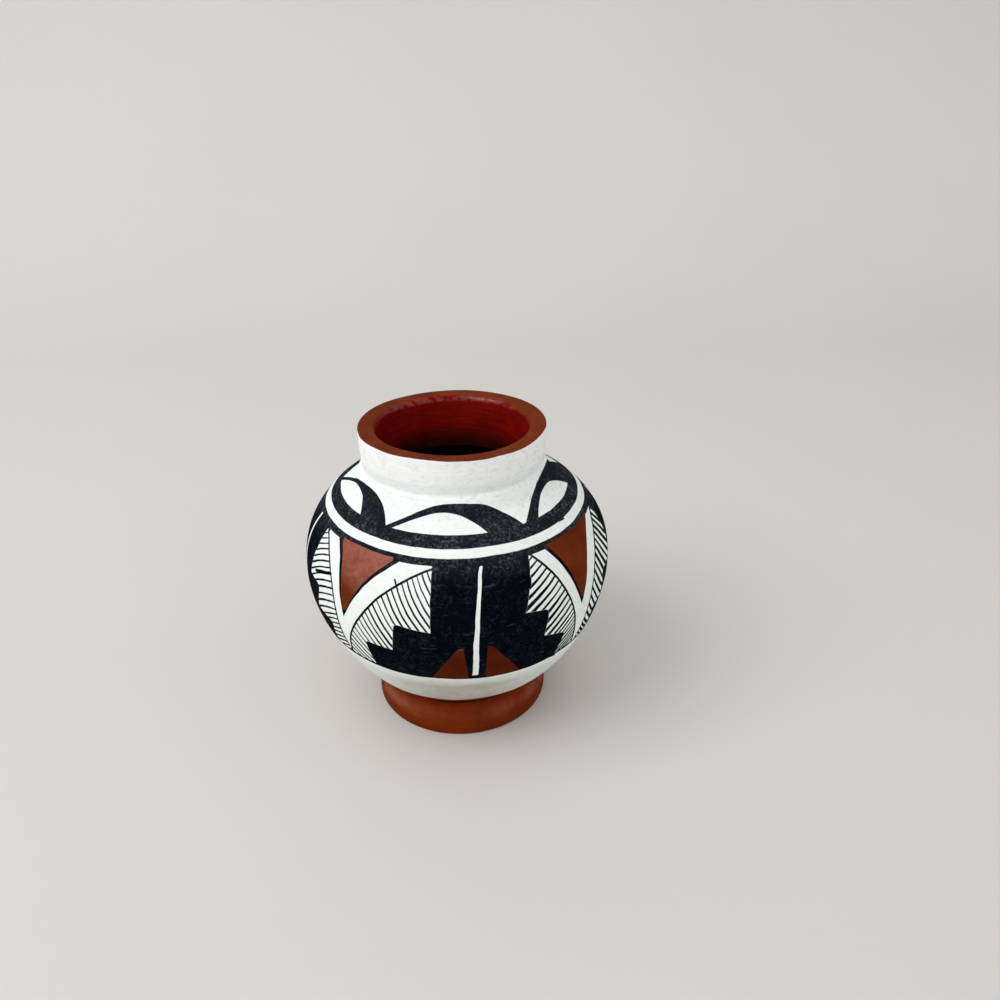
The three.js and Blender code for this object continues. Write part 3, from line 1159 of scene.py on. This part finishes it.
def painted_slip_finish(colours):
    """White slip with the painted design, and terracotta beyond the slip's edges."""
    finish = Finish(PAINTED_SLIP)
    point = finish.point()
    design = Design(finish, point)
    black, red, pale = design.paints()
    black_mask = finish.inside(black)
    red_mask = finish.inside(red)
    up = design.plain_height
    streaks = brushed(finish, point, 17)
    white = white_colour(finish, point, colours.white_slip, streaks, up)
    ink = ink_colour(finish, point, colours.black_paint, up)
    rust = red_colour(finish, point, colours, up, pale)
    foot_clay = clay_colour(finish, point, colours.terracotta, 3)
    lip_clay = clay_colour(finish, point, colours.lip_clay, 3)
    bare = finish.mix(finish.band(up, 0, 1), foot_clay, lip_clay)
    painted = finish.mix(red_mask, white, rust)
    painted = finish.mix(black_mask, painted, ink)
    wander = finish.noise(point, 7, detail=3, shift=90) * 0.7 - 0.35
    slip = finish.least(up - SLIP_BOTTOM, SLIP_TOP - up) + wander
    slip_mask = finish.inside(slip)
    colour = finish.mix(slip_mask, bare, painted)
    grain = finish.noise(point, 0.6, detail=4, roughness=0.6, shift=5)
    relief = grain * 0.5 + streaks * 0.9 + black_mask * 0.1 + slip_mask * 0.3
    roughness = 0.5 + black_mask * 0.3 + grain * 0.12
    coat = finish.most(red_mask - black_mask, 0) * pale * 0.2
    return finish.surface(colour, roughness, relief, CLAY_GRAIN, shine=0.01, coat=coat)


def white_colour(finish, point, slip, streaks, up):
    """White slip: brushed round the jar, scuffed grey, flecked more towards the right of the
    shoulder, painted lighter on the neck, with painted shade in the crease, and with painted shade
    under the design, most at the front."""
    scuffs = finish.noise(point, 3.0, detail=5, roughness=0.7, shift=29)
    flecks = finish.noise(finish.stretched(point, 0.6, 1.2), 0.8, detail=3, shift=67)
    # Painted light: the neck lighter from its foot upward
    white = finish.mix(finish.band(up, *NECK_PAINTED_LIGHT), slip, shade(slip, 1.08))
    # Painted shade in the crease at the foot of the neck
    crease = finish.least(finish.band(up, *CREASE_STARTS), finish.band(up, *CREASE_ENDS))
    white = finish.mix(crease * 0.45, white, shade(slip, 0.78))
    white = finish.mix(finish.band(streaks, 0.45, 0.75) * 0.32, white, shade(slip, 0.86))
    white = finish.mix(finish.band(scuffs, 0.54, 0.72) * 0.27, white, shade(slip, 0.6))
    across = finish.along(point, "X")
    speckled = finish.band(flecks, 0.53, 0.72) * (finish.band(up, *SPECKS_ABOVE) * 0.12 + 0.14)
    speckled = speckled * (finish.band(across, -20, 15) + 0.5)
    white = finish.mix(speckled, white, shade(slip, 0.52))
    # Painted shade: the slip under the design darkened, most at the front, mottled by the scuffs
    under_shade = finish.band(up, *SHADE_BELOW) * (0.95 - finish.band(abs(across), 6, 22) * 0.65)
    under_shade_colour = finish.mix(finish.band(scuffs, 0.35, 0.65), PALE_UNDER_SHADE, DARK_UNDER_SHADE)
    return finish.mix(under_shade, white, under_shade_colour)


def red_colour(finish, point, colours, up, pale):
    """Red paint: brown in the hills, and paler on the triangles where painted sheen lies."""
    dark = clay_colour(finish, point, shade(colours.terracotta, 0.5), 47)
    red = clay_colour(finish, point, colours.red_paint, 47)
    grain = finish.noise(finish.stretched(point, 0.5, 1), 1.1, detail=4, roughness=0.7, shift=77)
    # Painted sheen: the red lightened where it catches the light
    sheened = finish.mix(pale * finish.band(grain, 0.05, 0.75), red, SHEEN_RED)
    return finish.mix(finish.band(up, *RED_ABOVE_HILLS), dark, sheened)


def ink_colour(finish, point, black, up):
    """Black paint: deep on the columns; lightened on the shoulder by painted sheen, and mottled
    there with dusty grey that is partly painted sheen too.
    """
    mottle = finish.noise(point, 0.7, detail=5, roughness=0.8, shift=41)
    clouds = finish.noise(point, 4, detail=2, shift=43)
    scratches = finish.noise(finish.stretched(point, 0.25, 1.4), 1.0, detail=4, shift=83)
    # Painted sheen: the shoulder's black made lighter, and more mottled grey there, partly dusting
    # and partly painted sheen
    shoulder = finish.band(up, *SHEEN_AND_DUST_ABOVE)
    sheened = finish.mix(shoulder, black, SHEEN_BLACK)
    dusty = finish.band(mottle, 0.49, 0.64) * finish.band(clouds, 0.3, 0.6)
    dust_and_sheen = shoulder * (0.56 - finish.band(up, *LESS_DUST_AND_SHEEN) * 0.32) + 0.09
    sheened = finish.mix(dusty * dust_and_sheen, sheened, DUST_AND_SHEEN_GREY)
    return finish.mix(finish.band(scratches, 0.62, 0.74) * 0.26, sheened, SCRATCH)


MAKERS = {
    BURNISHED_CLAY: terracotta_finish,
    INNER_RED: inner_red_finish,
    PAINTED_SLIP: painted_slip_finish,
}


def finish_named(name):
    """One of the jar's finishes, made the first time it is asked for."""
    made = bpy.data.materials.get(name)
    return made or MAKERS[name](bpy.context.scene.jar_colours)


# Operators: one for each section of clay, and one for the stage

class SectionOperator:
    """What the section operators share: an outline turned, finished and put in place."""

    bl_options = {"REGISTER", "UNDO"}

    def build(self, name, outline, node, slot, outside=PAINTED_SLIP):
        piece = turn_clay(name, outline)
        finish_piece(piece, node, finish_named(outside), finish_named(INNER_RED))
        return {"FINISHED"}


class POT_OT_foot(SectionOperator, bpy.types.Operator):
    """Turn the foot: a rolled pad, hollowed below"""

    bl_idname = "seed_pot.foot"
    bl_label = "Foot"

    def execute(self, context):
        return self.build("rolled_foot", foot_outline(), "foot", "terracotta", BURNISHED_CLAY)


class POT_OT_base_bowl(SectionOperator, bpy.types.Operator):
    """Turn the base bowl, with the floor of the jar"""

    bl_idname = "seed_pot.base_bowl"
    bl_label = "Base Bowl"

    def execute(self, context):
        return self.build("slipped_base_bowl", base_bowl_outline(), "base_bowl", "white_slip")


class POT_OT_belly_wall(SectionOperator, bpy.types.Operator):
    """Turn the belly wall, the widest section"""

    bl_idname = "seed_pot.belly_wall"
    bl_label = "Belly Wall"

    def execute(self, context):
        return self.build("painted_belly_wall", belly_wall_outline(), "belly_wall",
                          "painted_slip")


class POT_OT_shoulder_wall(SectionOperator, bpy.types.Operator):
    """Turn the shoulder wall, with the throat inside it"""

    bl_idname = "seed_pot.shoulder_wall"
    bl_label = "Shoulder Wall"

    def execute(self, context):
        return self.build("painted_shoulder_wall", shoulder_wall_outline(), "shoulder_wall",
                          "painted_slip")


class POT_OT_neck_collar(SectionOperator, bpy.types.Operator):
    """Turn the neck collar, which flares out of the shoulder"""

    bl_idname = "seed_pot.neck_collar"
    bl_label = "Neck Collar"

    def execute(self, context):
        return self.build("slipped_neck_collar", neck_collar_outline(), "neck_collar",
                          "white_slip")


class POT_OT_rim_coil(SectionOperator, bpy.types.Operator):
    """Turn the rim coil, with its rounded lip"""

    bl_idname = "seed_pot.rim_coil"
    bl_label = "Rim Coil"

    def execute(self, context):
        return self.build("rounded_rim_coil", rim_coil_outline(), "rim_coil", "terracotta")


# The stage

# The sweep, in metres: its size, how far behind the jar it starts to curve up, and the curve
FLOOR_SIZE = 5.0
SWEEP_START = 0.3
SWEEP_RADIUS = 0.25
SWEEP_STEPS = 12
FLOOR_COLOUR = from_screen(222, 220, 216)

# The camera: its place in metres, how it was held in degrees, and its lens in millimetres
CAMERA_PLACE = (0.0, -0.18781, 0.15395)
CAMERA_PITCH = 27.579
CAMERA_YAW = 3.286
CAMERA_ROLL = -0.454
CAMERA_LENS = 30.6
SENSOR_WIDTH = 36
NEAREST_SEEN = 10 * MM

# The soft light of a window to the left, and the even light of the room
WINDOW_PLACE = (-0.5, -0.25, 0.65)
WINDOW_SIZE = 0.5
WINDOW_WATTS = 2.6
ROOM_LIGHT = 0.78


def make_sweep():
    """A floor that curves up into a backdrop behind the jar."""
    bpy.ops.object.select_all(action="DESELECT")
    middle = (0, SWEEP_START - FLOOR_SIZE / 2, 0)
    bpy.ops.mesh.primitive_plane_add(size=FLOOR_SIZE, location=middle)
    bpy.ops.object.transform_apply(location=True, rotation=True, scale=True)
    sweep = bpy.context.object
    sweep.name = "studio_sweep"
    mesh = sweep.data
    mesh.polygons.foreach_set("select", [False] * len(mesh.polygons))
    for vertex in mesh.vertices:
        vertex.select = vertex.co.y > SWEEP_START - MM
    for edge in mesh.edges:
        edge.select = all(mesh.vertices[index].select for index in edge.vertices)
    bpy.ops.object.mode_set(mode="EDIT")
    bpy.ops.mesh.select_mode(type="EDGE")
    turn = math.radians(RIGHT_ANGLE) / SWEEP_STEPS
    for step in range(SWEEP_STEPS):
        before = step * turn
        after = before + turn
        move = (0, SWEEP_RADIUS * (math.sin(after) - math.sin(before)),
                SWEEP_RADIUS * (math.cos(before) - math.cos(after)))
        bpy.ops.mesh.extrude_region_move(TRANSFORM_OT_translate={"value": move})
    bpy.ops.mesh.extrude_region_move(TRANSFORM_OT_translate={"value": (0, 0, FLOOR_SIZE)})
    bpy.ops.mesh.select_all(action="SELECT")
    bpy.ops.mesh.normals_make_consistent(inside=False)
    bpy.ops.object.mode_set(mode="OBJECT")
    bpy.ops.object.shade_smooth_by_angle(angle=CRISP_ANGLE)
    finish = Finish("studio paper")
    tone = finish.noise(finish.point(), 90, detail=2)
    colour = finish.mix(tone, FLOOR_COLOUR, shade(FLOOR_COLOUR, 0.97))
    paper = finish.surface(colour, 0.8, tone, PAPER_GRAIN)
    mesh.materials.append(paper)


def add_window_light():
    """A soft square lamp, aimed at the middle of the jar."""
    bpy.ops.object.light_add(type="AREA", location=WINDOW_PLACE)
    lamp = bpy.context.object
    lamp.name = "window_light"
    lamp.data.size = WINDOW_SIZE
    lamp.data.energy = WINDOW_WATTS
    aim = Vector((0, 0, RIM_TOP / 2)) - Vector(WINDOW_PLACE)
    lamp.rotation_euler = aim.to_track_quat("-Z", "Y").to_euler()


def light_room():
    """An even pale room light."""
    world = bpy.data.worlds.new("pale room")
    world.use_nodes = True
    background = world.node_tree.nodes["Background"]
    background.inputs["Color"].default_value = (1, 1, 1, 1)
    background.inputs["Strength"].default_value = ROOM_LIGHT
    bpy.context.scene.world = world


def place_camera():
    """The camera at the photograph's place, turned as it was held."""
    bpy.ops.object.camera_add(location=CAMERA_PLACE)
    camera = bpy.context.object
    camera.name = "photo_view"
    camera.data.lens = CAMERA_LENS
    camera.data.sensor_width = SENSOR_WIDTH
    camera.data.clip_start = NEAREST_SEEN
    turn = (Matrix.Rotation(math.radians(-CAMERA_YAW), 4, "Z")
            @ Matrix.Rotation(math.radians(RIGHT_ANGLE - CAMERA_PITCH), 4, "X")
            @ Matrix.Rotation(math.radians(CAMERA_ROLL), 4, "Z"))
    camera.matrix_world = Matrix.Translation(CAMERA_PLACE) @ turn
    bpy.context.scene.camera = camera


class POT_OT_stage(bpy.types.Operator):
    """Set up the floor, the lights and the camera"""

    bl_idname = "seed_pot.stage"
    bl_label = "Stage"
    bl_options = {"REGISTER", "UNDO"}

    def execute(self, context):
        make_sweep()
        add_window_light()
        light_room()
        place_camera()
        context.scene.view_settings.view_transform = "Standard"
        return {"FINISHED"}


SECTION_OPERATORS = (POT_OT_foot, POT_OT_base_bowl, POT_OT_belly_wall, POT_OT_shoulder_wall,
                     POT_OT_neck_collar, POT_OT_rim_coil)


class POT_PT_sidebar(bpy.types.Panel):
    """Sizes, colours and sections of the jar"""

    bl_idname = "POT_PT_sidebar"
    bl_label = "Seed Pot"
    bl_space_type = "VIEW_3D"
    bl_region_type = "UI"
    bl_category = "Seed Pot"

    def draw(self, context):
        column = self.layout.column()
        for settings in (context.scene.jar_shape, context.scene.jar_colours):
            for name in settings.__annotations__:
                column.prop(settings, name)
        for operator in (*SECTION_OPERATORS, POT_OT_stage):
            column.operator(operator.bl_idname)


CLASSES = (JarShape, JarColours, *SECTION_OPERATORS, POT_OT_stage, POT_PT_sidebar)


def register():
    for added in CLASSES:
        bpy.utils.register_class(added)
    bpy.types.Scene.jar_shape = bpy.props.PointerProperty(type=JarShape)
    bpy.types.Scene.jar_colours = bpy.props.PointerProperty(type=JarColours)


def unregister():
    del bpy.types.Scene.jar_colours
    del bpy.types.Scene.jar_shape
    for added in reversed(CLASSES):
        bpy.utils.unregister_class(added)


def main():
    register()
    bpy.ops.seed_pot.foot()
    bpy.ops.seed_pot.base_bowl()
    bpy.ops.seed_pot.belly_wall()
    bpy.ops.seed_pot.shoulder_wall()
    bpy.ops.seed_pot.neck_collar()
    bpy.ops.seed_pot.rim_coil()
    bpy.ops.seed_pot.stage()


if __name__ == "__main__":
    main()
